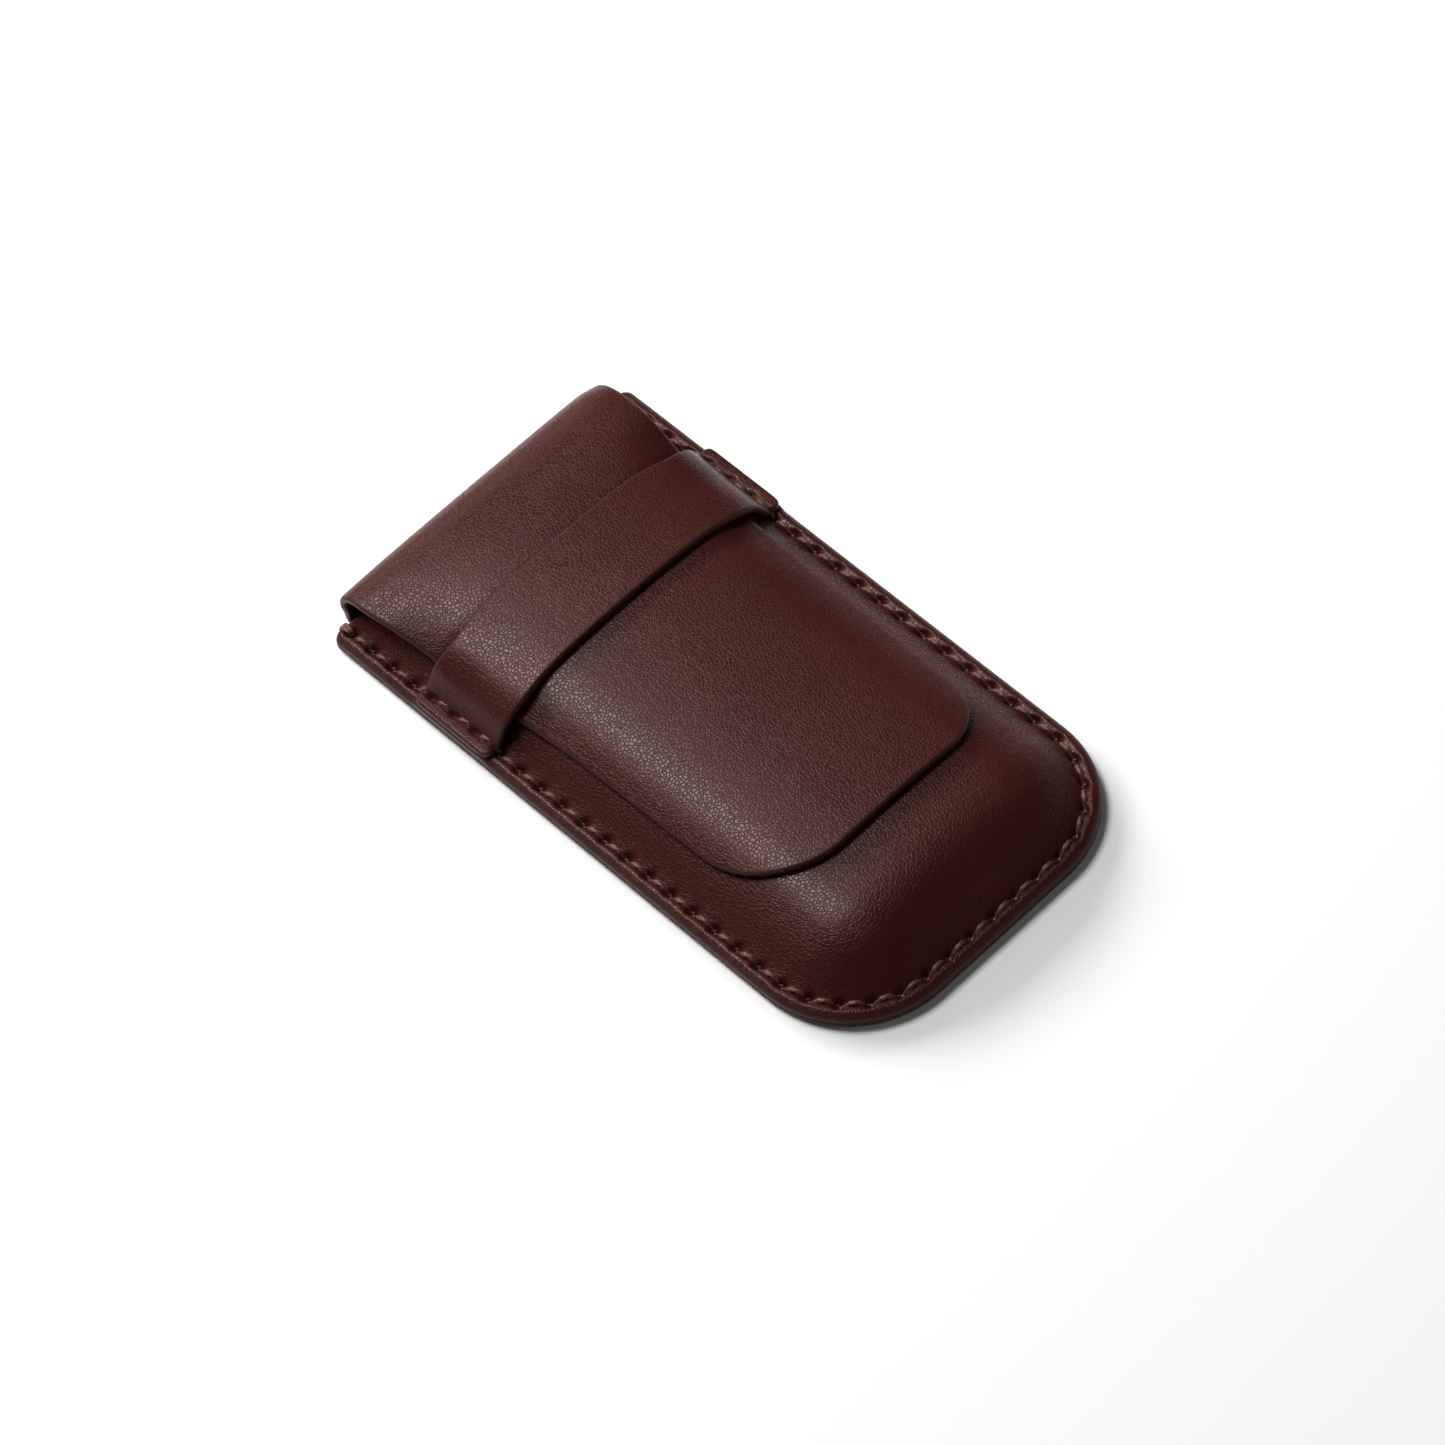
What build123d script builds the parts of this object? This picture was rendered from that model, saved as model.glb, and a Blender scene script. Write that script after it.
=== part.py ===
from build123d import *

import os
from math import atan2, degrees, radians, tan

# Leather business card case, in millimetres, lying on its back with +Z up.
# The origin is under the middle of the case. The rounded end points to -Y and
# the fold of the flap to +Y. The flap comes out of the back panel at the mouth,
# folds forward over the moulded pocket and tucks under a sewn keeper strap.

# Driving dimensions
case_width = 72.0
case_length = 130.0
panel_leather = 1.7
flap_leather = 1.5
strap_leather = 1.5
layer_gap = 0.2

# Outline of the two sewn panels
fold_depth = 2.5
end_radius = 20.5
mouth_corner_radius = 2.5

# Moulded bulge of the pocket
bulge_inset = 3.8
bulge_height = 8.4
bulge_slope = 46.0
bulge_shoulder_radius = 16.0
mouth_slant = 5.5

# Flap, from the fold to the tip of its tongue
fold_width = 62.4
fold_height = 13.5
fold_radius = 6.5
fold_run = 7.0
heel_radius = 2.0
fold_slope = 3.0
fold_shoulder_radius = 80.0
panel_end_slope = 40.0
panel_end_radius = 14.0
strap_flap_width = 59.2
tongue_width = 54.6
tongue_parallel_y = 10.0
tip_width = 53.2
tip_y = -38.0
tip_radius = 12.0

# Keeper strap
strap_top_y = 41.8
strap_width = 18.3
strap_slope = 68.0
strap_shoulder_radius = 12.0
strap_foot_radius = 1.2

# Saddle-stitched seam
seam_inset = 2.8
stitch_count = 56
stitch_length = 3.8
thread_width = 0.9
thread_height = 0.8
stitch_slant = 10.0
groove_width = 1.7
groove_depth = 0.45
end_loop_reach = 2.2

# Places worked out from the dimensions above
half_width = case_width / 2
near_y = -case_length / 2
fold_y = case_length / 2
mouth_y = fold_y - fold_depth
flange_z = 2 * panel_leather
bulge_top = flange_z + bulge_height
bulge_run = bulge_height / tan(radians(bulge_slope))
foot_x = half_width - bulge_inset
crest_x = foot_x - bulge_run
fold_end_y = fold_y - fold_run
flap_start_y = strap_top_y + layer_gap
strap_y = strap_top_y - strap_width / 2
seam_x = half_width - seam_inset
seam_radius = end_radius - seam_inset
inner_foot_inset = bulge_inset + panel_leather * tan(radians(bulge_slope / 2))
flap_layer = (layer_gap, layer_gap + flap_leather)
strap_inner_z = bulge_top + 2 * layer_gap + flap_leather
strap_crest_x = foot_x - (strap_inner_z - flange_z) / tan(radians(strap_slope))
strap_shift = strap_leather * tan(radians(strap_slope / 2))
thread_top_z = flange_z - groove_depth + thread_height
inner_fold_radius = fold_radius - flap_leather
inner_heel_radius = heel_radius - flap_leather
fold_radii = [0, heel_radius, fold_radius, 0, 0, inner_fold_radius, inner_heel_radius, 0]
outer_strap_radii = [0, 0, strap_foot_radius] + [strap_shoulder_radius + strap_leather] * 2
outer_strap_radii += [strap_foot_radius, 0, 0]
inner_strap_radii = [strap_foot_radius] + [strap_shoulder_radius] * 2 + [strap_foot_radius]
strap_radii = outer_strap_radii + inner_strap_radii


def panel_outline(inset=0.0, beyond_mouth=0.0, corner_radius=0.0):
    """Outline with a round near end, moved in from the edge and out past the mouth."""
    x = half_width - inset
    far_y = mouth_y + beyond_mouth
    with BuildSketch() as outline:
        with BuildLine():
            FilletPolyline(
                (-x, near_y + inset),
                (x, near_y + inset),
                (x, far_y),
                (-x, far_y),
                radius=[end_radius - inset, end_radius - inset, corner_radius, corner_radius],
                close=True,
            )
        make_face()
    return outline.sketch


def layer_section(half, slope, shoulder_radius, corner_x, low, high):
    """Cross-section of a leather layer that lies low to high above the bulge."""
    shift = tan(radians(slope / 2))
    fall = tan(radians(slope))
    corners = []
    for rise in (high, low):
        x = corner_x + rise * shift
        z = bulge_top + rise
        corners.append((x, z, z - (half - x) * fall, shoulder_radius + rise))
    (outer_x, outer_z, outer_foot, outer_radius) = corners[0]
    (inner_x, inner_z, inner_foot, inner_radius) = corners[1]
    with BuildSketch() as section:
        with BuildLine():
            FilletPolyline(
                (half, outer_foot),
                (outer_x, outer_z),
                (-outer_x, outer_z),
                (-half, outer_foot),
                (-half, inner_foot),
                (-inner_x, inner_z),
                (inner_x, inner_z),
                (half, inner_foot),
                radius=[0, outer_radius, outer_radius, 0, 0, inner_radius, inner_radius, 0],
                close=True,
            )
        make_face()
    return section.sketch


def cross_plane(y):
    """Plane across the case at y, with its sketch axes along +X and +Z."""
    return Plane(origin=(0, y, 0), x_dir=(1, 0, 0), z_dir=(0, -1, 0))


def seam_places(count):
    """Middle of each stitch on the seam, and the way that the stitch points."""
    places = []
    for index in range(count):
        along = (index + 0.5) / count
        point = seam_line.position_at(along)
        way = seam_line.tangent_at(along)
        places.append((point.X, point.Y, degrees(atan2(way.Y, way.X)) + stitch_slant))
    return places


def stitch_row(places):
    """Plan of the stitches at the given places."""
    with BuildSketch() as row:
        for x, y, turn in places:
            with Locations((x, y)):
                SlotOverall(stitch_length, thread_width, rotation=turn)
    return row.sketch


# Seam: up one side from the mouth, round the near end and back to the mouth
with BuildLine() as seam:
    FilletPolyline(
        (-seam_x, mouth_y - end_loop_reach),
        (-seam_x, near_y + seam_inset),
        (seam_x, near_y + seam_inset),
        (seam_x, mouth_y - end_loop_reach),
        radius=seam_radius,
    )
seam_line = seam.wire()

with BuildSketch() as seam_groove:
    add(panel_outline(seam_inset - groove_width / 2, 1.0))
    add(panel_outline(seam_inset + groove_width / 2, 2.0), mode=Mode.SUBTRACT)

# Back panel, grooved underneath so that its stitches don't stand on the table
with BuildPart() as back_panel:
    with BuildSketch():
        add(panel_outline(corner_radius=mouth_corner_radius))
    extrude(amount=panel_leather)
    extrude(seam_groove.sketch, amount=groove_depth, mode=Mode.SUBTRACT)

# Space inside the bulge, as deep as the cards' pocket and open at the mouth
with BuildPart() as card_space:
    with BuildSketch(Plane.XY.offset(panel_leather)):
        add(panel_outline(inner_foot_inset, bulge_height * 2))
    extrude(amount=bulge_height, taper=90 - bulge_slope)
    ceiling = card_space.faces().sort_by(Axis.Z)[-1]
    fillet(ceiling.edges().group_by(Axis.Y)[:-1], radius=bulge_shoulder_radius - panel_leather)

# Front panel: a flat flange around the moulded bulge
with BuildPart() as front_pocket:
    with BuildSketch(Plane.XY.offset(panel_leather)):
        add(panel_outline(corner_radius=mouth_corner_radius))
    extrude(amount=panel_leather)
    with BuildSketch(Plane.XY.offset(flange_z)):
        add(panel_outline(bulge_inset, bulge_height * 2))
    extrude(amount=bulge_height, taper=90 - bulge_slope)
    crest = front_pocket.faces().sort_by(Axis.Z)[-1]
    fillet(crest.edges().group_by(Axis.Y)[:-1], radius=bulge_shoulder_radius)
    add(card_space.part, mode=Mode.SUBTRACT)
    split(bisect_by=cross_plane(mouth_y), keep=Keep.TOP)
    with BuildSketch(Plane.YZ):
        with BuildLine():
            Polyline(
                (mouth_y, flange_z),
                (mouth_y - mouth_slant, bulge_top),
                (mouth_y - mouth_slant, case_length),
                (case_length, case_length),
                (case_length, flange_z),
                close=True,
            )
        make_face()
    extrude(amount=half_width, both=True, mode=Mode.SUBTRACT)
    with BuildSketch(Plane.XY.offset(flange_z - groove_depth)):
        add(seam_groove.sketch)
    extrude(amount=groove_depth + thread_height, mode=Mode.SUBTRACT)

# Keeper strap: its ends lie on the flange and its middle arches over the flap
with BuildPart() as keeper_strap:
    with BuildSketch(cross_plane(strap_top_y)):
        with BuildLine():
            FilletPolyline(
                (half_width, flange_z),
                (half_width, flange_z + strap_leather),
                (foot_x + strap_shift, flange_z + strap_leather),
                (strap_crest_x + strap_shift, strap_inner_z + strap_leather),
                (-strap_crest_x - strap_shift, strap_inner_z + strap_leather),
                (-foot_x - strap_shift, flange_z + strap_leather),
                (-half_width, flange_z + strap_leather),
                (-half_width, flange_z),
                (-foot_x, flange_z),
                (-strap_crest_x, strap_inner_z),
                (strap_crest_x, strap_inner_z),
                (foot_x, flange_z),
                radius=strap_radii,
                close=True,
            )
        make_face()
    extrude(amount=strap_width)
    with BuildSketch(Plane.XY.offset(flange_z + strap_leather - groove_depth)):
        add(seam_groove.sketch)
    extrude(amount=groove_depth + thread_height, mode=Mode.SUBTRACT)

# Fold: the flap's leather turns up from the back panel and over the mouth
with BuildPart() as flap_fold:
    with BuildSketch(Plane.YZ):
        with BuildLine():
            FilletPolyline(
                (mouth_y, 0),
                (fold_y, 0),
                (fold_y, fold_height),
                (fold_end_y, fold_height),
                (fold_end_y, fold_height - flap_leather),
                (fold_y - flap_leather, fold_height - flap_leather),
                (fold_y - flap_leather, flap_leather),
                (mouth_y, flap_leather),
                radius=fold_radii,
                close=True,
            )
        make_face()
    extrude(amount=fold_width / 2, both=True)

# Flap panel: from the fold to the strap, where it takes the shape of the bulge
with BuildPart() as flap_panel:
    with BuildSketch(cross_plane(fold_end_y)):
        add(layer_section(fold_width / 2, fold_slope, fold_shoulder_radius, crest_x, *flap_layer))
    with BuildSketch(cross_plane(flap_start_y)):
        add(
            layer_section(
                strap_flap_width / 2, panel_end_slope, panel_end_radius, crest_x, *flap_layer
            )
        )
    loft()

# Tongue: the end of the flap, which tucks under the strap and lies on the bulge
with BuildPart() as flap_tongue:
    with BuildSketch(cross_plane(flap_start_y)):
        add(layer_section(fold_width / 2, bulge_slope, bulge_shoulder_radius, crest_x, *flap_layer))
    extrude(amount=flap_start_y - tip_y)
    with BuildSketch():
        with BuildLine():
            FilletPolyline(
                (-tip_width / 2, tip_y),
                (tip_width / 2, tip_y),
                (tongue_width / 2, tongue_parallel_y),
                (strap_flap_width / 2, flap_start_y),
                (-strap_flap_width / 2, flap_start_y),
                (-tongue_width / 2, tongue_parallel_y),
                radius=[tip_radius, tip_radius, tongue_width, 0, 0, tongue_width],
                close=True,
            )
        make_face()
    extrude(amount=case_length, mode=Mode.INTERSECT)

# Stitches on the front, which stand higher where they cross the strap's ends, and
# the two loops that end the seam over the edge of the mouth
stitches = seam_places(stitch_count)
strap_reach = (strap_width + stitch_length) / 2
strap_stitches = [place for place in stitches if abs(place[1] - strap_y) < strap_reach]
flange_stitches = [place for place in stitches if place not in strap_stitches]
with BuildPart() as front_stitches:
    with BuildSketch(Plane.XY.offset(flange_z - groove_depth)):
        add(stitch_row(flange_stitches))
    extrude(amount=thread_height)
    with BuildSketch(Plane.XY.offset(flange_z + strap_leather - groove_depth)):
        add(stitch_row(strap_stitches))
    extrude(amount=thread_height)
    for side in (-1, 1):
        with BuildSketch(Plane.YZ.offset(side * seam_x - thread_width / 2)):
            with BuildLine():
                Polyline(
                    (mouth_y - end_loop_reach, flange_z - groove_depth),
                    (mouth_y, flange_z - groove_depth),
                    (mouth_y, 0),
                    (mouth_y + groove_depth, 0),
                    (mouth_y + groove_depth, thread_top_z),
                    (mouth_y - end_loop_reach, thread_top_z),
                    close=True,
                )
            make_face()
        extrude(amount=thread_width)

# Stitches on the back, sunk in the back panel's groove
with BuildPart() as back_stitches:
    with BuildSketch():
        add(stitch_row(stitches))
    extrude(amount=groove_depth)

back_panel.part.label = "back_panel"
front_pocket.part.label = "front_pocket"
keeper_strap.part.label = "keeper_strap"
flap_fold.part.label = "flap_fold"
flap_panel.part.label = "flap_panel"
flap_tongue.part.label = "flap_tongue"
front_stitches.part.label = "front_stitches"
back_stitches.part.label = "back_stitches"

os.makedirs("parts", exist_ok=True)
for piece in (
    back_panel,
    front_pocket,
    keeper_strap,
    flap_fold,
    flap_panel,
    flap_tongue,
    front_stitches,
    back_stitches,
):
    export_step(piece.part, f"parts/{piece.part.label}.step")
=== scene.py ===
import math

import bmesh
import bpy
import numpy as np
from mathutils import Matrix, Vector


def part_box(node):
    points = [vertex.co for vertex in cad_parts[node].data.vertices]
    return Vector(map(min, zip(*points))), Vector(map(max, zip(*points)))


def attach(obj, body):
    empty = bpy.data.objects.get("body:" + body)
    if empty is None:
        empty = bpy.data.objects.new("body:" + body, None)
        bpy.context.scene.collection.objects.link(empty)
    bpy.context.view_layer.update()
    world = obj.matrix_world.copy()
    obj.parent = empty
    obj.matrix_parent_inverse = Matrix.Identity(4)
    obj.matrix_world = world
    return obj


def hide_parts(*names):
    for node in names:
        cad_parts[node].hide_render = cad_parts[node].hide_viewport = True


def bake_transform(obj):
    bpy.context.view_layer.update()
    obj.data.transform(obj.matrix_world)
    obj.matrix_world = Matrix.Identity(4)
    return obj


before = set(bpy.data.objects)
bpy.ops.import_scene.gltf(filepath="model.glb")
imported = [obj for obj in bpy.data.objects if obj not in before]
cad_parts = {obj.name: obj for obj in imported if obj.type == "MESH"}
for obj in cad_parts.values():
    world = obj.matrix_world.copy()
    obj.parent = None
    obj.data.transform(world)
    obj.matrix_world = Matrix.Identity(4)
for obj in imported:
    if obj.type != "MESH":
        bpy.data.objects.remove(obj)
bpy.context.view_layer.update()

MM = 0.001
FAR = 1.0
EDGE_ROWS = 4

# Sizes read from the frame, in metres
panel_low, panel_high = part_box("back_panel")
pocket_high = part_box("front_pocket")[1]
strap_low, strap_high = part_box("keeper_strap")
fold_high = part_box("flap_fold")[1]
tongue_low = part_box("flap_tongue")[0]

HALF_WIDTH = panel_high[0]
NEAR_Y = panel_low[1]
MOUTH_Y = panel_high[1]
PANEL_LEATHER = panel_high[2]
FLANGE_Z = 2 * PANEL_LEATHER
BULGE_TOP = pocket_high[2]
BULGE_HEIGHT = BULGE_TOP - FLANGE_Z
FOLD_Y = fold_high[1]
FOLD_HALF = fold_high[0]
FLAP_TOP = fold_high[2]
TIP_Y = tongue_low[1]

# Outline and seam of the two sewn panels
END_RADIUS = 20.5 * MM
MOUTH_CORNER = 1.3 * MM
SEAM_INSET = 2.8 * MM
SEAM_START = 2.2 * MM
STITCHES = 56
GROOVE_WIDTH = 0.75 * MM
HOLE_LENGTH = 1.1 * MM
HOLE_WIDTH = 0.72 * MM
HOLE_EXTENT = 2.2 * MM
EDGE_REACH = 1.9 * MM
EDGE_FALL = 1.35 * MM
BACK_EDGE_FALL = 0.9 * MM
RIM_BEAD = 0.10 * MM
RIM_BEAD_INSET = 1.4 * MM
RIM_BEAD_WIDTH = 0.7 * MM
MOUTH_EDGE_RADIUS = 0.5 * MM

# Depths of the groove and of the awl holes in each piece
BACK_DENT = (0.5 * MM, 0.5 * MM)
POCKET_DENT = (0.3 * MM, 1.1 * MM)
STRAP_DENT = (0.25 * MM, 0.7 * MM)

# Moulded bulge
BULGE_INSET = 3.8 * MM
BULGE_SLOPE = math.radians(46)
BULGE_RADIUS = 16 * MM
FOOT_BLEND = 0.9 * MM
MOUTH_SLANT = 5.5 * MM
MOUTH_SLANT_LENGTH = 16 * MM
CROWN_SINK = 0.22
CROWN_REACH = 26 * MM
BULGE_WANDER = 0.05 * MM

# Flap: it hugs the bulge under the strap, swells behind it and sags on its left
FLAP_LEATHER = 1.5 * MM
FLAP_EDGE_RADIUS = 0.55 * MM
TONGUE_HALF = 26.7 * MM
TIP_RADIUS_LEFT = 17 * MM
TIP_RADIUS_RIGHT = 11 * MM
FOLD_BEND = 5.4 * MM
FOLD_LEAD = 3 * MM
FOLD_EASE = 1.5
FOLD_TURN = math.pi / 2
HEEL_BEND = 1.25 * MM
ROOT_LENGTH = 2.0 * MM
LOOSE_HUG = 0.08
SWELL_HEIGHT = 0.4 * MM
SIDE_FALL = 2.3 * MM
SIDE_FALL_START = 4 * MM
SIDE_FALL_REACH = 27 * MM
SIDE_FALL_POWER = 1.8
FLAP_WANDER = 0.02 * MM

# How far the free end of the flap has shifted, and its right corner more than the rest
FOLD_SHIFT_X = -0.7 * MM
FOLD_SHIFT_Y = -0.4 * MM
FOLD_SHIFT_Z = -0.05 * MM
RIGHT_SHIFT_Y = -0.5 * MM
RIGHT_SHIFT_Z = -0.7 * MM

# Strap: it presses the rim's fall flat, is drawn in at its waist and lifts at its shoulders
STRAP_LEATHER = 1.5 * MM
STRAP_EDGE_RADIUS = 0.5 * MM
STRAP_END_RADIUS = 0.35 * MM
STRAP_CORNER = 1.5 * MM
STRAP_PRESS = 0.75
STRAP_WAIST = 1.3 * MM
STRAP_WAIST_X = 26 * MM
STRAP_LIFT = 0.6 * MM
STRAP_LIFT_X = 27 * MM
STRAP_SHOULDER = 5 * MM

# Thread: TUBE_UP is a way that no stretch of thread runs along
TUBE_UP = (0.05, 0.03, 1.0)
THREAD_RADIUS = 0.44 * MM
THREAD_TWIST = 2.6 * MM
PLY_DEPTH = 0.16
STITCH_SLANT = 0.28 * MM
STITCH_DIP = 1.3 * MM
BACK_STITCH_DIP = 1.5 * MM
LOOP_SPREAD = 0.42 * MM
LOOP_POINTS = 34


def smoothstep(low, high, value):
    """0 below low, 1 above high, and an S-curve between them."""
    t = np.clip((value - low) / (high - low), 0, 1)
    return t * t * (3 - 2 * t)


def rounding(distance, radius, fall=None):
    """How far a face drops as it nears an edge that is rounded to radius."""
    near = 1 - np.clip(distance / radius, 0, 1)
    return (fall or radius) * (1 - np.sqrt(1 - near**2))


def shoulder(distance, foot, base, top, radius):
    """Height of a moulded side, by the distance in from the case's edge."""
    fall = math.tan(BULGE_SLOPE)
    crest = foot + (top - base) / fall
    tangent = radius * math.tan(BULGE_SLOPE / 2)
    arc_start = crest - tangent * math.cos(BULGE_SLOPE)
    arc_end = crest + tangent
    line = (distance - foot) * fall
    line = (line + np.sqrt(line**2 + FOOT_BLEND**2)) / 2
    reach = np.clip(arc_end - distance, 0, radius)
    arc = top - radius + np.sqrt(radius**2 - reach**2)
    return np.where(distance < arc_start, base + line, arc)


def crown(x):
    """How far the bulge's top has sunk at x, as a share of its height."""
    return CROWN_SINK * np.clip(np.abs(x) / CROWN_REACH, 0, 1) ** 2


def bulge_outside(distance):
    """Height of the front panel's outer face, by the distance in from the edge."""
    return shoulder(distance, BULGE_INSET, FLANGE_Z, BULGE_TOP, BULGE_RADIUS)


def bulge_inside(distance):
    """Height of the front panel's inner face, by the distance in from the edge."""
    foot = BULGE_INSET + PANEL_LEATHER * math.tan(BULGE_SLOPE / 2)
    top = BULGE_TOP - PANEL_LEATHER
    radius = BULGE_RADIUS - PANEL_LEATHER
    return shoulder(distance, foot, PANEL_LEATHER, top, radius)


# ---------------------------------------------------------------- U-shaped grids


def stations(length, step, end_steps):
    """Distances along an edge: even steps, with finer ones at both ends."""
    count = int(length / 2 / step)
    half = np.linspace(0, length / 2, count + 1)
    half = np.concatenate([[0], end_steps, half[half > end_steps[-1] * 1.3]])
    return np.concatenate([half, (length - half[:-1])[::-1]])


def u_length(half, far, tip, left, right):
    """Length of a U outline: two sides, two rounded corners and the tip."""
    sides = (far - tip - left) + (far - tip - right)
    return sides + (left + right) * math.pi / 2 + 2 * half - left - right


def u_outline(half, far, tip, left, right, runs):
    """Points of a U outline and the ways in from it, at the given runs from its start."""
    side = far - tip - left
    corner = side + left * math.pi / 2
    end = corner + 2 * half - left - right
    last = end + right * math.pi / 2
    points = []
    inwards = []
    for run in runs:
        if run < side:
            points.append((-half, far - run))
            inwards.append((1, 0))
        elif run < corner:
            turn = math.pi + (run - side) / left
            points.append((left - half + left * math.cos(turn), tip + left + left * math.sin(turn)))
            inwards.append((-math.cos(turn), -math.sin(turn)))
        elif run < end:
            points.append((left - half + run - corner, tip))
            inwards.append((0, 1))
        elif run < last:
            turn = 1.5 * math.pi + (run - end) / right
            points.append((half - right + right * math.cos(turn), tip + right + right * math.sin(turn)))
            inwards.append((-math.cos(turn), -math.sin(turn)))
        else:
            points.append((half, tip + right + run - last))
            inwards.append((-1, 0))
    return np.array(points), np.array(inwards)


def u_grid(half, far, tip, left, right, runs, rings, lines):
    """Rows of points that follow a U outline inwards and end on its middle line.

    rings are distances in from the outline; lines are shares of the way from
    the last ring to the middle line. Returns x, y and the distance in, by row.
    """
    points, inwards = u_outline(half, far, tip, left, right, runs)
    pole = tip + half
    middle = np.stack([np.zeros(len(runs)), np.maximum(points[:, 1], pole)], axis=1)
    rows = [points + inwards * ring for ring in rings]
    distances = [np.full(len(runs), ring) for ring in rings]
    for share in lines:
        rows.append(rows[len(rings) - 1] * (1 - share) + middle * share)
        distances.append(rings[-1] + np.full(len(runs), share * (half - rings[-1])))
    rows = np.array(rows)
    return rows[:, :, 0], rows[:, :, 1], np.array(distances)


# ---------------------------------------------------------------- mesh making


def sheet_mesh(name, top, bottom, edge_rows, closed_sides, materials):
    """A closed leather sheet between two grids of points.

    edge_rows is how many rows, from the first, count as the cut edge.
    closed_sides says whether the last row is an edge too, or a middle line.
    materials are those of the top, the cut edge and the bottom.
    """
    rows, columns = top.shape[:2]
    points = np.concatenate([top.reshape(-1, 3), bottom.reshape(-1, 3)])
    offset = rows * columns
    faces = []
    slots = []

    def add(corners, slot):
        faces.append(corners)
        slots.append(slot)

    for i in range(rows - 1):
        near_edge = i < edge_rows or (closed_sides and i >= rows - 1 - edge_rows)
        for j in range(columns - 1):
            a = i * columns + j
            b = a + 1
            c = a + columns + 1
            d = a + columns
            add((a, b, c, d), 1 if near_edge else 0)
            add((offset + d, offset + c, offset + b, offset + a), 1 if near_edge else 2)
    for j in range(columns - 1):
        add((j, offset + j, offset + j + 1, j + 1), 1)
        if closed_sides:
            k = (rows - 1) * columns + j
            add((k + 1, offset + k + 1, offset + k, k), 1)
    for i in range(rows - 1):
        a = i * columns
        add((a, a + columns, offset + a + columns, offset + a), 1)
        b = a + columns - 1
        add((b + columns, b, offset + b, offset + b + columns), 1)

    mesh = bpy.data.meshes.new(name)
    mesh.from_pydata(points.tolist(), [], faces)
    for material in materials:
        mesh.materials.append(material)
    mesh.polygons.foreach_set("material_index", slots)
    piece = bpy.data.objects.new(name, mesh)
    bpy.context.scene.collection.objects.link(piece)
    tidy_mesh(mesh)
    return piece


def tidy_mesh(mesh):
    """Join doubled points, drop faces that closed up, and shade the mesh smooth."""
    shape = bmesh.new()
    shape.from_mesh(mesh)
    bmesh.ops.remove_doubles(shape, verts=shape.verts, dist=1e-7)
    bmesh.ops.dissolve_degenerate(shape, edges=shape.edges, dist=1e-8)
    bmesh.ops.recalc_face_normals(shape, faces=shape.faces)
    for face in shape.faces:
        face.smooth = True
    shape.to_mesh(mesh)
    shape.free()


# ---------------------------------------------------------------- materials


def node(tree, kind, **values):
    """A shader node with its inputs and properties set by name."""
    made = tree.nodes.new(kind)
    for key, value in values.items():
        name = key.replace("_", " ").title()
        if name in made.inputs:
            made.inputs[name].default_value = value
        else:
            setattr(made, key, value)
    return made


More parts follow.
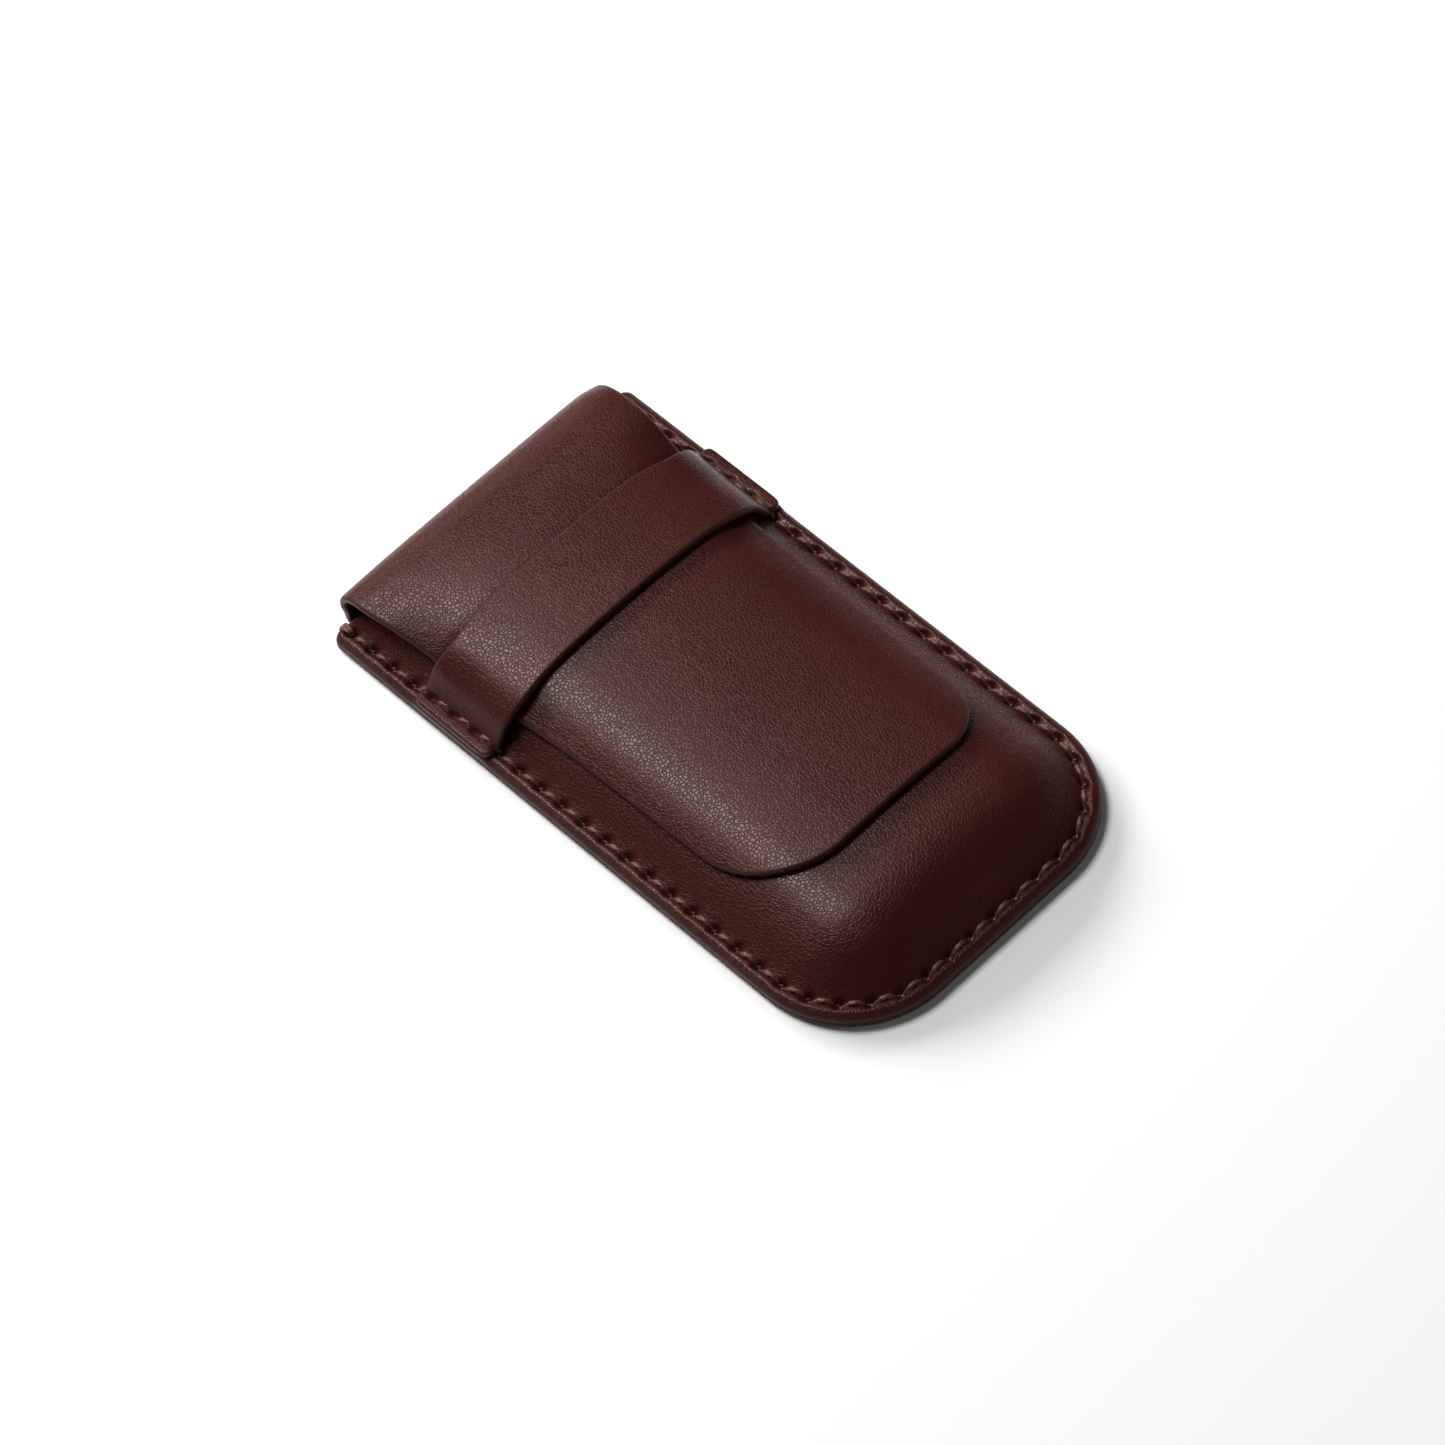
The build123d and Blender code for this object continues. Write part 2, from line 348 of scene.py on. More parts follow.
def leather_material(name, dark, light, roughness, grain_size, grain_depth):
    """Grained leather whose colour drifts a little, with painted shade darkening the grain's creases.
    """
    material = bpy.data.materials.new(name)
    material.use_nodes = True
    tree = material.node_tree
    shader = tree.nodes["Principled BSDF"]
    shader.inputs["Specular IOR Level"].default_value = 0.25
    shader.inputs["Specular Tint"].default_value = (1, 0.84, 0.79, 1)
    place = tree.nodes.new("ShaderNodeTexCoord").outputs["Object"]

    wobble = node(tree, "ShaderNodeTexNoise", scale=0.9 / grain_size, detail=3.0)
    tree.links.new(place, wobble.inputs["Vector"])
    spread = node(tree, "ShaderNodeVectorMath", operation="SCALE")
    spread.inputs["Scale"].default_value = grain_size * 0.55
    tree.links.new(wobble.outputs["Color"], spread.inputs[0])
    bent = node(tree, "ShaderNodeVectorMath", operation="ADD")
    tree.links.new(place, bent.inputs[0])
    tree.links.new(spread.outputs["Vector"], bent.inputs[1])

    pebbles = node(tree, "ShaderNodeTexVoronoi", feature="DISTANCE_TO_EDGE", scale=1 / grain_size)
    tree.links.new(bent.outputs["Vector"], pebbles.inputs["Vector"])
    domes = tree.nodes.new("ShaderNodeMapRange")
    domes.interpolation_type = "SMOOTHSTEP"
    domes.inputs["From Max"].default_value = 0.2
    tree.links.new(pebbles.outputs["Distance"], domes.inputs["Value"])
    fine = node(tree, "ShaderNodeTexNoise", scale=2.6 / grain_size, detail=4.0)
    tree.links.new(place, fine.inputs["Vector"])
    height = tree.nodes.new("ShaderNodeMath")
    height.operation = "MULTIPLY_ADD"
    height.inputs[1].default_value = 0.35
    tree.links.new(fine.outputs["Fac"], height.inputs[0])
    tree.links.new(domes.outputs["Result"], height.inputs[2])
    bump = tree.nodes.new("ShaderNodeBump")
    bump.inputs["Distance"].default_value = grain_depth
    bump.inputs["Strength"].default_value = 1.0
    tree.links.new(height.outputs["Value"], bump.inputs["Height"])
    tree.links.new(bump.outputs["Normal"], shader.inputs["Normal"])
    dull = tree.nodes.new("ShaderNodeMapRange")
    dull.inputs["To Min"].default_value = 0.44
    dull.inputs["To Max"].default_value = roughness
    tree.links.new(domes.outputs["Result"], dull.inputs["Value"])
    tree.links.new(dull.outputs["Result"], shader.inputs["Roughness"])

    # Colour: a slow drift of the leather's own tone, plus painted shade that darkens it in the grain's
    # creases
    drift = node(tree, "ShaderNodeTexNoise", scale=55.0, detail=4.0)
    tree.links.new(place, drift.inputs["Vector"])
    drift_and_crease_shade = tree.nodes.new("ShaderNodeMath")
    drift_and_crease_shade.operation = "MULTIPLY_ADD"
    drift_and_crease_shade.inputs[1].default_value = 0.2
    tree.links.new(domes.outputs["Result"], drift_and_crease_shade.inputs[0])
    tree.links.new(drift.outputs["Fac"], drift_and_crease_shade.inputs[2])
    colours = tree.nodes.new("ShaderNodeValToRGB")
    colours.color_ramp.elements[0].position = 0.35
    colours.color_ramp.elements[0].color = (*dark, 1)
    colours.color_ramp.elements[1].position = 1.0
    colours.color_ramp.elements[1].color = (*light, 1)
    tree.links.new(drift_and_crease_shade.outputs["Value"], colours.inputs["Fac"])
    tree.links.new(colours.outputs["Color"], shader.inputs["Base Color"])
    return material


def thread_material():
    """Waxed brown thread whose colour and bumps vary with its fibres."""
    material = bpy.data.materials.new("waxed_thread")
    material.use_nodes = True
    tree = material.node_tree
    shader = tree.nodes["Principled BSDF"]
    shader.inputs["Roughness"].default_value = 0.45
    place = tree.nodes.new("ShaderNodeTexCoord").outputs["Object"]
    fibres = node(tree, "ShaderNodeTexNoise", scale=4200.0, detail=3.0)
    tree.links.new(place, fibres.inputs["Vector"])
    colours = tree.nodes.new("ShaderNodeValToRGB")
    colours.color_ramp.elements[0].position = 0.3
    colours.color_ramp.elements[0].color = (0.046, 0.015, 0.011, 1)
    colours.color_ramp.elements[1].position = 0.75
    colours.color_ramp.elements[1].color = (0.180, 0.070, 0.052, 1)
    tree.links.new(fibres.outputs["Fac"], colours.inputs["Fac"])
    tree.links.new(colours.outputs["Color"], shader.inputs["Base Color"])
    bump = tree.nodes.new("ShaderNodeBump")
    bump.inputs["Distance"].default_value = 0.05 * MM
    tree.links.new(fibres.outputs["Fac"], bump.inputs["Height"])
    tree.links.new(bump.outputs["Normal"], shader.inputs["Normal"])
    return material


grain_leather = leather_material(
    "grain_leather", (0.0325, 0.0060, 0.0045), (0.0465, 0.0090, 0.0068), 0.265, 0.66 * MM, 0.027 * MM
)
cut_edge = leather_material(
    "cut_edge", (0.028, 0.0075, 0.0060), (0.046, 0.0125, 0.0100), 0.45, 0.35 * MM, 0.02 * MM
)
flesh_side = leather_material(
    "flesh_side", (0.026, 0.009, 0.007), (0.046, 0.018, 0.014), 0.85, 0.30 * MM, 0.03 * MM
)
waxed_thread = thread_material()
LEATHER = [grain_leather, cut_edge, flesh_side]


# ---------------------------------------------------------------- seam

seam_half = HALF_WIDTH - SEAM_INSET
seam_tip = NEAR_Y + SEAM_INSET
seam_radius = END_RADIUS - SEAM_INSET
seam_far = MOUTH_Y - SEAM_START
SEAM = (seam_half, seam_far, seam_tip, seam_radius, seam_radius)
seam_run = u_length(*SEAM)
hole_runs = np.linspace(0, seam_run, STITCHES + 1)
hole_points, hole_inwards = u_outline(*SEAM, hole_runs)


def seam_dent(x, y, groove, hole):
    """Depth of the groove and of the awl holes that the thread pulls into the leather."""
    depth = np.zeros_like(x)
    past_arc = y < seam_tip + seam_radius
    centre_x = seam_half - seam_radius
    out_x = np.maximum(np.abs(x) - centre_x, 0)
    out_y = np.maximum(seam_tip + seam_radius - y, 0)
    radial = np.hypot(out_x, out_y)
    off = np.where(past_arc, radial - seam_radius, np.abs(x) - seam_half)
    started = smoothstep(MOUTH_Y + 0.5 * MM, MOUTH_Y - 1.5 * MM, y)
    depth += groove * np.exp(-((off / GROOVE_WIDTH) ** 2)) * started
    near = np.abs(off) < HOLE_EXTENT
    spots = np.stack([x[near], y[near]], axis=1)
    pulled = np.zeros(len(spots))
    for point, inward in zip(hole_points, hole_inwards):
        along = np.array([inward[1], -inward[0]])
        slit = along * 0.8 + inward * 0.6
        across = np.array([slit[1], -slit[0]])
        gap = spots - point
        reach = (gap @ slit / HOLE_LENGTH) ** 2 + (gap @ across / HOLE_WIDTH) ** 2
        pulled = np.maximum(pulled, np.exp(-(reach**1.5)))
    depth[near] += hole * pulled
    return depth


def wander(x, y, size):
    """Slow unevenness of a hand-made surface."""
    waves = np.sin(x * 95 + 1.3) * np.cos(y * 61 + 0.4) + 0.6 * np.sin(y * 143 - x * 70 + 2.1)
    return size * waves


# ---------------------------------------------------------------- the sewn panels

panel_rings = [0, 0.08, 0.22, 0.42, 0.75, 1.1, 1.45, 1.75, 2.0, 2.25, 2.5, 2.75, 3.0, 3.25, 3.5]
panel_rings += [3.8, 4.2, 4.8, 5.6, 6.6, 7.8, 9.2, 10.8, 12.4, 14.0, 15.6, 17.2, 18.6, 20.0]
panel_rings = np.array(panel_rings) * MM
end_steps = np.array([0.08, 0.22, 0.42, 0.75]) * MM
PANEL = (HALF_WIDTH, MOUTH_Y, NEAR_Y, END_RADIUS, END_RADIUS)
panel_runs = stations(u_length(*PANEL), 0.4 * MM, end_steps)
panel_x, panel_y, panel_in = u_grid(*PANEL, panel_runs, panel_rings, [0.2, 0.45, 0.7, 1.0])


def round_mouth_corners(x, y):
    """Pull the outline in where the mouth's outer corners are rounded."""
    start = MOUTH_Y - MOUTH_CORNER
    up = np.clip(y - start, 0, MOUTH_CORNER)
    limit = HALF_WIDTH - MOUTH_CORNER + np.sqrt(MOUTH_CORNER**2 - up**2)
    inner = HALF_WIDTH - 4 * MM
    share = (limit - inner) / (HALF_WIDTH - inner)
    size = np.abs(x)
    squeezed = np.where(size > inner, inner + (size - inner) * share, size)
    return np.sign(x) * squeezed


def back_panel():
    """Flat panel with a groove for the stitches sunk in its back."""
    x = round_mouth_corners(panel_x, panel_y)
    mouth = np.where(np.abs(x) > FOLD_HALF, MOUTH_Y - panel_y, FAR)
    edge = rounding(panel_in, EDGE_REACH, BACK_EDGE_FALL)
    low = np.maximum(edge, rounding(mouth, MOUTH_EDGE_RADIUS))
    low = low + seam_dent(x, panel_y, *BACK_DENT)
    high = np.full_like(low, PANEL_LEATHER)
    top = np.stack([x, panel_y, high], axis=2)
    bottom = np.stack([x, panel_y, low], axis=2)
    outside_down = [flesh_side, cut_edge, grain_leather]
    piece = sheet_mesh("back_panel_leather", top, bottom, EDGE_ROWS, False, outside_down)
    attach(piece, "case")
    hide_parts("back_panel")


def front_pocket():
    """Front panel: flange, seam groove, moulded bulge and slanted mouth."""
    x = round_mouth_corners(panel_x, panel_y)
    sunk = 1 - crown(x)
    outside = FLANGE_Z + (bulge_outside(panel_in) - FLANGE_Z) * sunk
    inside = PANEL_LEATHER + (bulge_inside(panel_in) - PANEL_LEATHER) * sunk
    climb = (outside - FLANGE_Z) / BULGE_HEIGHT
    back = MOUTH_SLANT * climb * smoothstep(MOUTH_Y - MOUTH_SLANT_LENGTH, MOUTH_Y, panel_y)
    y = panel_y - back
    under_strap = smoothstep(strap_low[1] - MM, strap_low[1] + MM, y)
    under_strap = under_strap * smoothstep(strap_high[1] + MM, strap_high[1] - MM, y)
    rim = RIM_BEAD * np.exp(-(((panel_in - RIM_BEAD_INSET) / RIM_BEAD_WIDTH) ** 2))
    fall = rounding(panel_in, EDGE_REACH, 1.0) * EDGE_FALL * (1 - STRAP_PRESS * under_strap)
    high = outside + rim - np.maximum(fall, rounding(MOUTH_Y - panel_y, MOUTH_EDGE_RADIUS))
    high = high - seam_dent(x, y, *POCKET_DENT)
    high = high + wander(x, y, BULGE_WANDER) * climb
    top = np.stack([x, y, high], axis=2)
    bottom = np.stack([x, y, inside], axis=2)
    piece = sheet_mesh("front_pocket_leather", top, bottom, EDGE_ROWS, False, LEATHER)
    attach(piece, "case")
    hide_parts("front_pocket")


# ---------------------------------------------------------------- flap

flap_middle_z = FLAP_TOP - FLAP_LEATHER / 2
bend_y = FOLD_Y - FLAP_LEATHER / 2 - FOLD_BEND
bend_z = flap_middle_z - FOLD_BEND
heel_y = FOLD_Y - FLAP_LEATHER / 2 - HEEL_BEND
heel_z = FLAP_LEATHER / 2 + HEEL_BEND
bend_end = bend_y + FOLD_BEND * math.pi / 2
wall_end = bend_end + bend_z - heel_z
heel_end = wall_end + HEEL_BEND * math.pi / 2
root_end = heel_end + ROOT_LENGTH


def eased_bend():
    """Shares of the fold's run and of its drop, by the share of its length."""
    share = np.linspace(0, 1, 201)
    turn = FOLD_TURN * ((share[1:] + share[:-1]) / 2) ** FOLD_EASE
    run = np.concatenate([[0], np.cumsum(np.cos(turn))])
    drop = np.concatenate([[0], np.cumsum(np.sin(turn))])
    return share, run / run[-1], drop / drop[-1]


def fold_path(along):
    """Middle of the flap's leather, and the way out of it, along its length.

    along is y on the flap's flat stretch, and goes on round the fold to the root.
    """
    bend_start = bend_y - FOLD_LEAD
    shares, runs, drops = eased_bend()
    share = np.clip((along - bend_start) / (bend_end - bend_start), 0, 1)
    turn = FOLD_TURN * share**FOLD_EASE
    y = np.minimum(along, bend_start) + (FOLD_BEND + FOLD_LEAD) * np.interp(share, shares, runs)
    z = flap_middle_z - FOLD_BEND * np.interp(share, shares, drops)
    z = z - np.clip(along - bend_end, 0, wall_end - bend_end)
    out_y = np.sin(turn)
    out_z = np.cos(turn)
    heel = np.clip((along - wall_end) / HEEL_BEND, 0, math.pi / 2)
    turning = along > wall_end
    y = np.where(turning, heel_y + HEEL_BEND * np.cos(heel), y)
    z = np.where(turning, heel_z - HEEL_BEND * np.sin(heel), z)
    out_y = np.where(turning, np.cos(heel), out_y)
    out_z = np.where(turning, -np.sin(heel), out_z)
    y = y - np.maximum(along - heel_end, 0)
    return y, z, out_y, out_z


def droop(x):
    """How far the flap falls at x where it lies on the bulge."""
    rise = FLAP_TOP - FLAP_LEATHER / 2 - BULGE_TOP
    radius = BULGE_RADIUS + rise
    crest = HALF_WIDTH - BULGE_INSET - BULGE_HEIGHT / math.tan(BULGE_SLOPE)
    centre = crest - BULGE_RADIUS * math.tan(BULGE_SLOPE / 2)
    reach = np.clip(np.abs(x) - centre, 0, radius * 0.98)
    fall = radius - np.sqrt(radius**2 - reach**2)
    height = BULGE_HEIGHT + rise
    return fall + crown(x) * np.maximum(height - fall, 0)


def flap_hug(along):
    """How fully the flap takes the bulge's shape: 1 under the strap, less at the fold."""
    return LOOSE_HUG + (1 - LOOSE_HUG) * smoothstep(54 * MM, 34 * MM, along)


def flap_swell(along):
    """How far the flap swells up between the strap and the fold."""
    past_strap = smoothstep(39.5 * MM, 43.5 * MM, along)
    return SWELL_HEIGHT * past_strap * smoothstep(60 * MM, 46 * MM, along)


def side_fall(x, along):
    """How far the free part of the flap sags towards its left edge."""
    reach = np.clip(-x - SIDE_FALL_START, 0, None) / SIDE_FALL_REACH
    free = smoothstep(30 * MM, 50 * MM, along) * smoothstep(67 * MM, 50 * MM, along)
    return SIDE_FALL * reach**SIDE_FALL_POWER * free


def flap_half(along):
    """Half width of the flap, which narrows from the fold to its tongue."""
    places = np.array([-25, 10, 43, 58]) * MM
    halves = np.array([26.6, 27.2, 29.4, 31.1]) * MM
    return np.interp(along, places, halves)


def flap():
    """The flap's leather in one piece, from under the mouth to the tongue's tip."""
    shape = (TONGUE_HALF, root_end, TIP_Y, TIP_RADIUS_LEFT, TIP_RADIUS_RIGHT)
    runs = stations(u_length(*shape), 0.5 * MM, end_steps)
    rings = np.array([0, 0.06, 0.16, 0.32, 0.55, 0.9, 1.5, 2.3, 3.3, 4.5, 6.0, 7.7, 9.5]) * MM
    x, along, inside = u_grid(*shape, runs, rings, [0.2, 0.4, 0.6, 0.8, 1.0])
    x = x * flap_half(along) / TONGUE_HALF
    standing = smoothstep(wall_end, bend_end, along)
    hug = flap_hug(along) * standing
    y, z, out_y, out_z = fold_path(along)
    near_fold = smoothstep(44 * MM, 60 * MM, along) * standing
    right_end = near_fold * smoothstep(26 * MM, 33 * MM, x)
    y = y + RIGHT_SHIFT_Y * right_end + FOLD_SHIFT_Y * near_fold
    fall = side_fall(x, along)
    z = z + flap_swell(along) + FOLD_SHIFT_Z * near_fold + RIGHT_SHIFT_Z * right_end
    x = x + FOLD_SHIFT_X * near_fold
    step = 0.05 * MM
    lean = hug * (droop(x + step) - droop(x - step)) / (2 * step)
    lean += (side_fall(x + step, along) - side_fall(x - step, along)) / (2 * step)
    out = np.stack([lean, out_y, out_z], axis=2)
    out /= np.linalg.norm(out, axis=2, keepdims=True)
    height = z - hug * droop(x) - fall + wander(x, along, FLAP_WANDER)
    middle = np.stack([x, y, height], axis=2)
    half = FLAP_LEATHER / 2 - rounding(inside, FLAP_EDGE_RADIUS)
    top = middle + out * half[:, :, None]
    bottom = middle - out * half[:, :, None]
    piece = sheet_mesh("flap_leather", top, bottom, EDGE_ROWS, False, LEATHER)
    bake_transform(piece)
    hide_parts("flap_fold", "flap_panel", "flap_tongue")


# ---------------------------------------------------------------- strap


def strap_path():
    """Middle of the strap across the case, as points in x and z, from end to end."""
    side = [(36.0, 4.15), (34.6, 4.15), (33.2, 4.2), (32.3, 5.0), (31.2, 7.0), (29.9, 9.2)]
    side += [(28.4, 10.3), (26.4, 11.6), (22.0, 12.95), (15.5, 13.8), (8.0, 14.3), (0.0, 14.45)]
    left = [(-x, z) for x, z in side]
    right = [(x, z) for x, z in side[-2::-1]]
    return np.array(left + right) * MM


def smooth_curve(points, count):
    """Even points along a smooth curve through the given ones."""
    curve = bpy.data.curves.new("path", "CURVE")
    curve.dimensions = "3D"
    curve.resolution_u = 24
    spline = curve.splines.new("NURBS")
    spline.points.add(len(points) - 1)
    for target, point in zip(spline.points, points):
        target.co = (point[0], 0, point[1], 1)
    spline.order_u = 4
    spline.use_endpoint_u = True
    holder = bpy.data.objects.new("path", curve)
    mesh = bpy.data.meshes.new_from_object(holder)
    dense = np.array([vertex.co[:] for vertex in mesh.vertices])
    bpy.data.objects.remove(holder)
    bpy.data.meshes.remove(mesh)
    bpy.data.curves.remove(curve)
    runs = np.concatenate([[0], np.cumsum(np.linalg.norm(np.diff(dense, axis=0), axis=1))])
    even = np.linspace(0, runs[-1], count)
    return np.interp(even, runs, dense[:, 0]), np.interp(even, runs, dense[:, 2]), runs[-1]


def keeper_strap():
    """Strap over the flap, its ends on the flange and caught in the seam."""
    count = 260
    x, z, length = smooth_curve(strap_path(), count)
    tangent = np.stack([np.gradient(x), np.gradient(z)], axis=1)
    tangent /= np.linalg.norm(tangent, axis=1, keepdims=True)
    out = np.stack([-tangent[:, 1], tangent[:, 0]], axis=1)
    shares = np.array([0, 0.05, 0.13, 0.26, 0.5]) * MM
    low_y = strap_low[1]
    high_y = strap_high[1]
    inner = np.linspace(low_y + 1.0 * MM, high_y - 1.0 * MM, 34)
    across = np.concatenate([low_y + shares, inner, (high_y - shares)[::-1]])
    waist = STRAP_WAIST * np.exp(-(((np.abs(x) - STRAP_WAIST_X) / STRAP_SHOULDER) ** 2))
    rows = []
    for y in across:
        share = (y - low_y) / (high_y - low_y)
        rows.append(y - waist * (0.35 + 0.65 * share))
    y = np.array(rows)
    from_end = (HALF_WIDTH - np.abs(x)) * np.ones_like(y)
    centre_y = (low_y + high_y) / 2
    narrowing = 1 - rounding(from_end, STRAP_CORNER) / (high_y - centre_y)
    y = centre_y + (y - centre_y) * narrowing
    edge = np.minimum(across - low_y, high_y - across)[:, None] * np.ones(count)
    run = np.linspace(0, length, count)[None, :] * np.ones(len(across))[:, None]
    end = np.minimum(run, length - run)
    half = STRAP_LEATHER / 2 - rounding(edge, STRAP_EDGE_RADIUS) - rounding(end, STRAP_END_RADIUS)
    at_shoulder = np.exp(-(((np.abs(x) - STRAP_LIFT_X) / STRAP_SHOULDER) ** 2))
    lift = STRAP_LIFT * smoothstep(31 * MM, 41 * MM, y) * at_shoulder
    middle = np.stack([x + out[:, 0] * lift, y, z + out[:, 1] * lift], axis=2)
    way = np.stack([out[:, 0], np.zeros(count), out[:, 1]], axis=1)[None, :, :]
    top = middle + way * half[:, :, None]
    bottom = middle - way * half[:, :, None]
    flat = smoothstep(31.5 * MM, 33 * MM, np.abs(x))
    top[:, :, 2] -= seam_dent(x * np.ones_like(y), y, *STRAP_DENT) * flat
    piece = sheet_mesh("keeper_strap_leather", top, bottom, EDGE_ROWS, True, LEATHER)
    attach(piece, "case")
    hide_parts("keeper_strap")


# ---------------------------------------------------------------- thread


def thread_tube(path, radius, points, faces):
    """Add a twisted three-ply tube along the path to the lists of points and faces."""
    around = 12
    base = len(points)
    count = len(path)
    along = np.gradient(path, axis=0)
    along /= np.linalg.norm(along, axis=1, keepdims=True)
    side = np.cross(along, TUBE_UP)
    side /= np.linalg.norm(side, axis=1, keepdims=True)
    up = np.cross(side, along)
    runs = np.concatenate([[0], np.cumsum(np.linalg.norm(np.diff(path, axis=0), axis=1))])
    for i in range(count):
        twist = runs[i] / THREAD_TWIST * 2 * math.pi
        for k in range(around):
            turn = 2 * math.pi * k / around
            lobe = radius * (1 + PLY_DEPTH * math.cos(3 * (turn - twist / 1.5)))
            points.append(path[i] + side[i] * lobe * math.cos(turn) + up[i] * lobe * math.sin(turn))
    for i in range(count - 1):
        for k in range(around):
            a = base + i * around + k
            b = base + i * around + (k + 1) % around
            faces.append((a, b, b + around, a + around))
    faces.append(tuple(base + k for k in range(around))[::-1])
    faces.append(tuple(base + (count - 1) * around + k for k in range(around)))


def surface_under(y):
    """Height of the leather that the front thread lies on."""
    on_strap = smoothstep(strap_low[1] - 0.6 * MM, strap_low[1] + 0.2 * MM, y)
    on_strap = on_strap * smoothstep(strap_high[1] + 0.6 * MM, strap_high[1] - 0.2 * MM, y)
    return FLANGE_Z + on_strap * STRAP_LEATHER


def stitch_paths(rng):
    """Middle lines of the stitches, as shares along, off to the side and up."""
    for index in range(STITCHES):
        start = hole_points[index]
        end = hole_points[index + 1]
        shares = np.linspace(0, 1, 17)
        line = start + (end - start) * shares[:, None]
        way = (end - start) / np.linalg.norm(end - start)
        inward = np.array([-way[1], way[0]])
        slant = STITCH_SLANT * (1 + 0.3 * rng.normal())
        line = line + inward * ((shares - 0.5) * 2 * slant)[:, None]
        yield shares, line


def front_thread():
    """Stitches on the front, each dipping into the leather at both ends."""
    rng = np.random.default_rng(11)
    points = []
    faces = []
    for shares, line in stitch_paths(rng):
        proud = (0.10 + 0.05 * rng.normal()) * MM
        arch = smoothstep(0.08, 0.42, shares) * smoothstep(0.92, 0.58, shares)
        z = surface_under(line[:, 1]) - STITCH_DIP + (STITCH_DIP + proud) * arch
        path = np.concatenate([line, z[:, None]], axis=1)
        thread_tube(path, THREAD_RADIUS, points, faces)
    for side in (-1, 1):
        for shift in (-LOOP_SPREAD, LOOP_SPREAD):
            path = end_loop(side, shift)
            thread_tube(path, THREAD_RADIUS, points, faces)
    thread_piece("front_thread", points, faces, "front_stitches")


def end_loop(side, shift):
    """One pass of the thread over the mouth's edge to the back, shifted at its middle."""
    x = side * seam_half
    y0 = seam_far
    ends = [(y0, 2.6), (y0 + 0.5 * MM, 3.45), (MOUTH_Y - 0.6 * MM, 3.6), (MOUTH_Y + 0.1 * MM, 3.2)]
    ends += [(MOUTH_Y + 0.35 * MM, 2.3), (MOUTH_Y + 0.35 * MM, 1.2), (MOUTH_Y + 0.05 * MM, 0.6)]
    ends += [(MOUTH_Y - 0.7 * MM, 0.48), (y0 + 0.4 * MM, 0.6), (y0, 1.4)]
    knots = np.array([(x, y, z * MM) for y, z in ends])
    spots = np.linspace(0, len(knots) - 1, LOOP_POINTS)
    path = np.stack([np.interp(spots, np.arange(len(knots)), knots[:, k]) for k in range(3)], axis=1)
    path[:, 0] += shift * np.sin(np.pi * np.linspace(0, 1, LOOP_POINTS)) ** 0.5
    return path


def back_thread():
    """Stitches on the back, sunk in their groove."""
    rng = np.random.default_rng(12)
    points = []
    faces = []
    for shares, line in stitch_paths(rng):
        arch = np.sin(np.pi * shares) ** 0.55
        z = BACK_STITCH_DIP - (BACK_STITCH_DIP - THREAD_RADIUS * 1.2) * arch
        path = np.concatenate([line, z[:, None]], axis=1)
        thread_tube(path, THREAD_RADIUS, points, faces)
    thread_piece("back_thread", points, faces, "back_stitches")


def thread_piece(name, points, faces, stands_for):
    """One object from the tubes gathered in points and faces."""
    mesh = bpy.data.meshes.new(name)
    mesh.from_pydata([tuple(point) for point in points], [], faces)
    mesh.materials.append(waxed_thread)
    for face in mesh.polygons:
        face.use_smooth = True
    piece = bpy.data.objects.new(name, mesh)
    bpy.context.scene.collection.objects.link(piece)
    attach(piece, "case")
    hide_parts(stands_for)


# ---------------------------------------------------------------- stage

CAMERA_AZIMUTH = math.radians(-37.548)
CAMERA_ELEVATION = math.radians(56.071)
CAMERA_ROLL = math.radians(-8.627)
CAMERA_DISTANCE = 1.1354
CAMERA_TARGET = Vector((-0.00151, 0.00101, -0.00023))
CAMERA_LENS = 164.58
FLOOR_REACH = 1.1
WARM = (1, 0.86, 0.8)


def camera():
    """Long lens from above the rounded end, rolled a little."""
    level = math.cos(CAMERA_ELEVATION)
    back = Vector(
        (
            math.sin(CAMERA_AZIMUTH) * level,
            -math.cos(CAMERA_AZIMUTH) * level,
            math.sin(CAMERA_ELEVATION),
        )
    )
    right = Vector((math.cos(CAMERA_AZIMUTH), math.sin(CAMERA_AZIMUTH), 0))
    up = back.cross(right)
    rolled_right = right * math.cos(CAMERA_ROLL) + up * math.sin(CAMERA_ROLL)
    rolled_up = up * math.cos(CAMERA_ROLL) - right * math.sin(CAMERA_ROLL)
    data = bpy.data.cameras.new("camera")
    data.sensor_width = 36
    data.lens = CAMERA_LENS
    data.clip_start = 0.01
    holder = bpy.data.objects.new("camera", data)
    bpy.context.scene.collection.objects.link(holder)
    turn = Matrix((rolled_right, rolled_up, back)).transposed().to_4x4()
    holder.matrix_world = Matrix.Translation(CAMERA_TARGET + back * CAMERA_DISTANCE) @ turn
    bpy.context.scene.camera = holder


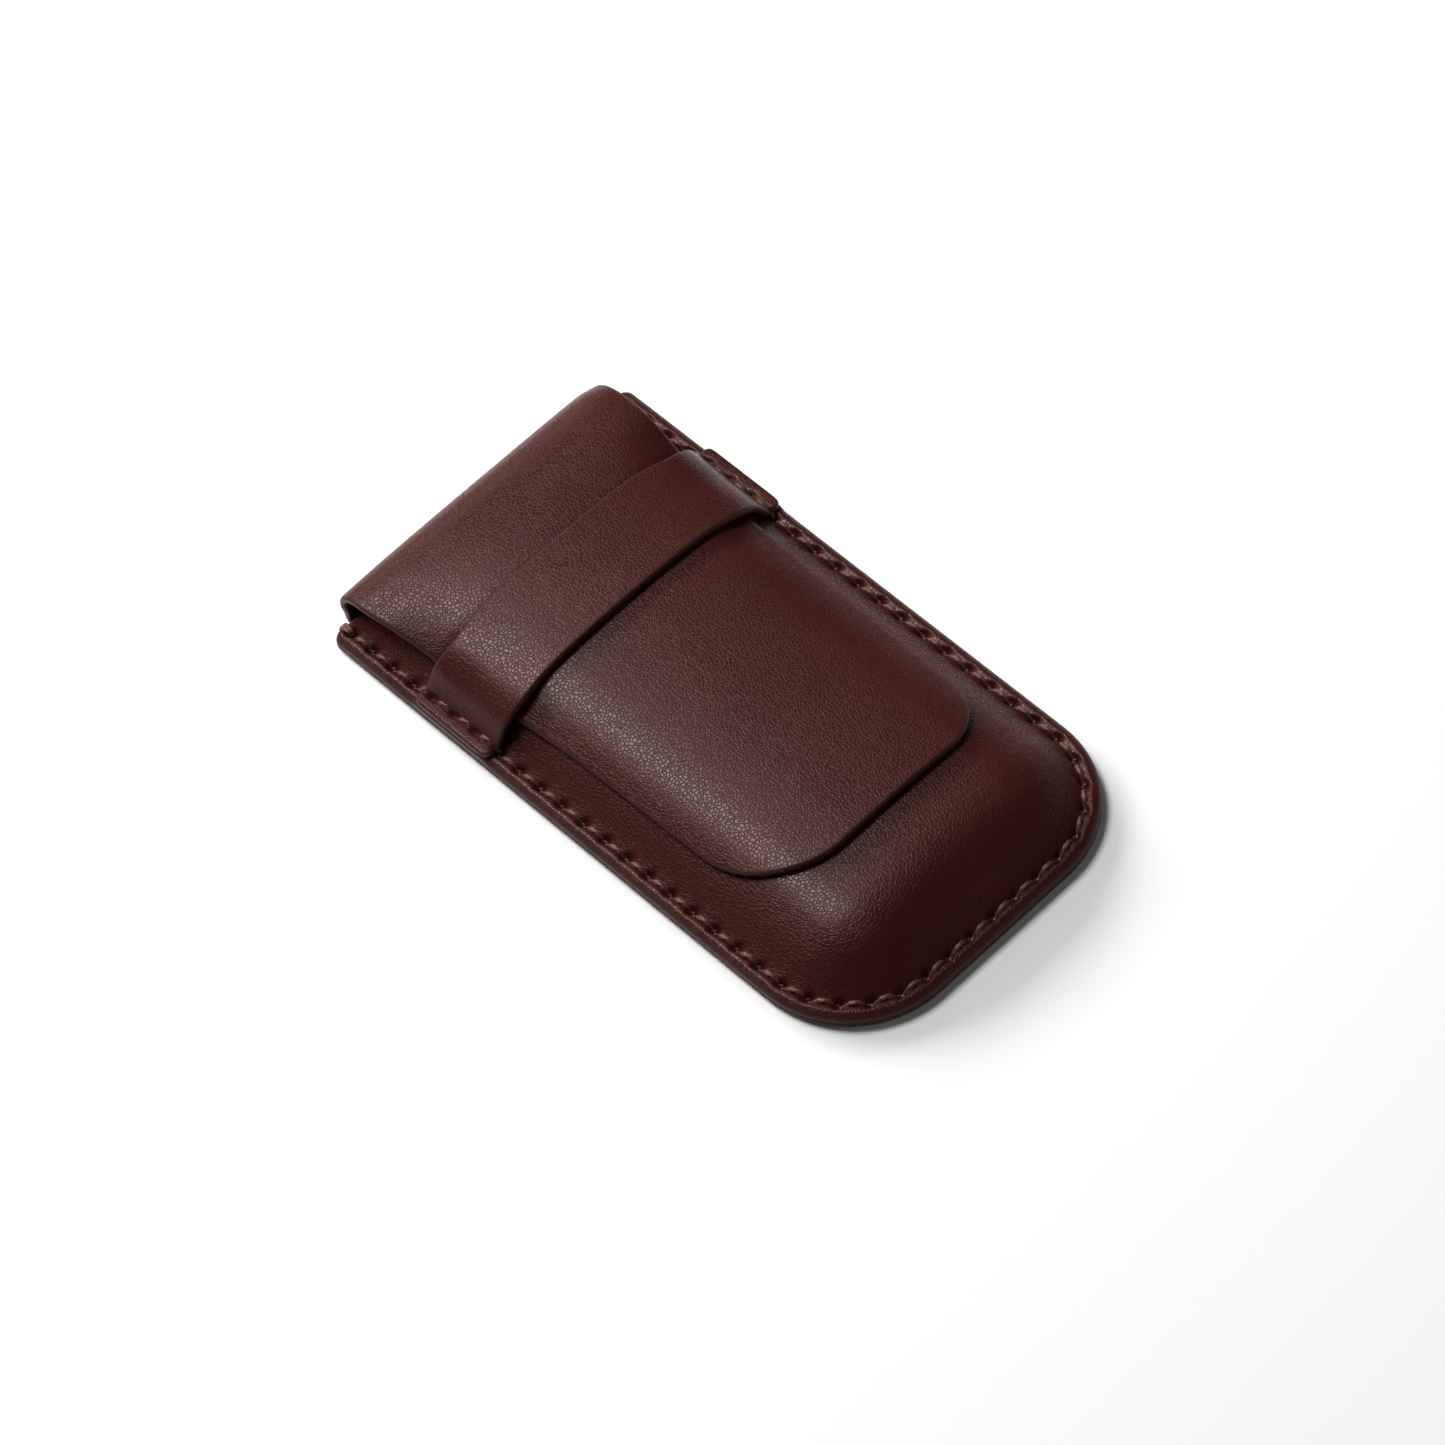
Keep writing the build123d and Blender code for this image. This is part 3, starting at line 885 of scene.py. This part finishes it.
def area_light(name, place, width, height, power, glossy=True, colour=(1, 1, 1)):
    """Rectangular soft light that faces the object, seen in its sheen if glossy."""
    data = bpy.data.lights.new(name, "AREA")
    data.shape = "RECTANGLE"
    data.size = width
    data.size_y = height
    data.energy = power
    data.color = colour
    holder = bpy.data.objects.new(name, data)
    holder.location = place
    holder.rotation_euler = (-Vector(place)).to_track_quat("-Z", "Y").to_euler()
    holder.visible_glossy = glossy
    bpy.context.scene.collection.objects.link(holder)


def stage():
    """Pale floor, soft lights from high behind, low behind and the front, and a plain backdrop."""
    mesh = bpy.data.meshes.new("floor")
    signs = [(-1, -1), (1, -1), (1, 1), (-1, 1)]
    corners = [(FLOOR_REACH * across, FLOOR_REACH * along, 0) for across, along in signs]
    mesh.from_pydata(corners, [], [(0, 1, 2, 3)])
    floor = bpy.data.objects.new("floor", mesh)
    white = bpy.data.materials.new("white_floor")
    white.use_nodes = True
    shader = white.node_tree.nodes["Principled BSDF"]
    shader.inputs["Base Color"].default_value = (0.82, 0.82, 0.82, 1)
    shader.inputs["Roughness"].default_value = 0.9
    shader.inputs["Specular IOR Level"].default_value = 0.1
    mesh.materials.append(white)
    bpy.context.scene.collection.objects.link(floor)
    area_light("key", (-0.09, 0.41, 0.80), 0.35, 0.35, 6.6)
    area_light("backdrop", (0.10, 1.23, 0.64), 1.0, 0.35, 3.8, colour=WARM)
    area_light("bounce", (-0.04, 1.21, 0.50), 1.3, 0.26, 31, glossy=False)
    area_light("fill", (0.60, -1.60, 0.60), 2.0, 0.9, 8, glossy=False)
    world = bpy.data.worlds.new("room")
    world.use_nodes = True
    world.node_tree.nodes["Background"].inputs["Color"].default_value = (1, 1, 1, 1)
    world.node_tree.nodes["Background"].inputs["Strength"].default_value = 0.9
    world.cycles_visibility.diffuse = False
    world.cycles_visibility.glossy = False
    bpy.context.scene.world = world
    bpy.context.scene.view_settings.view_transform = "Standard"


camera()
back_panel()
front_pocket()
flap()
keeper_strap()
front_thread()
back_thread()
stage()
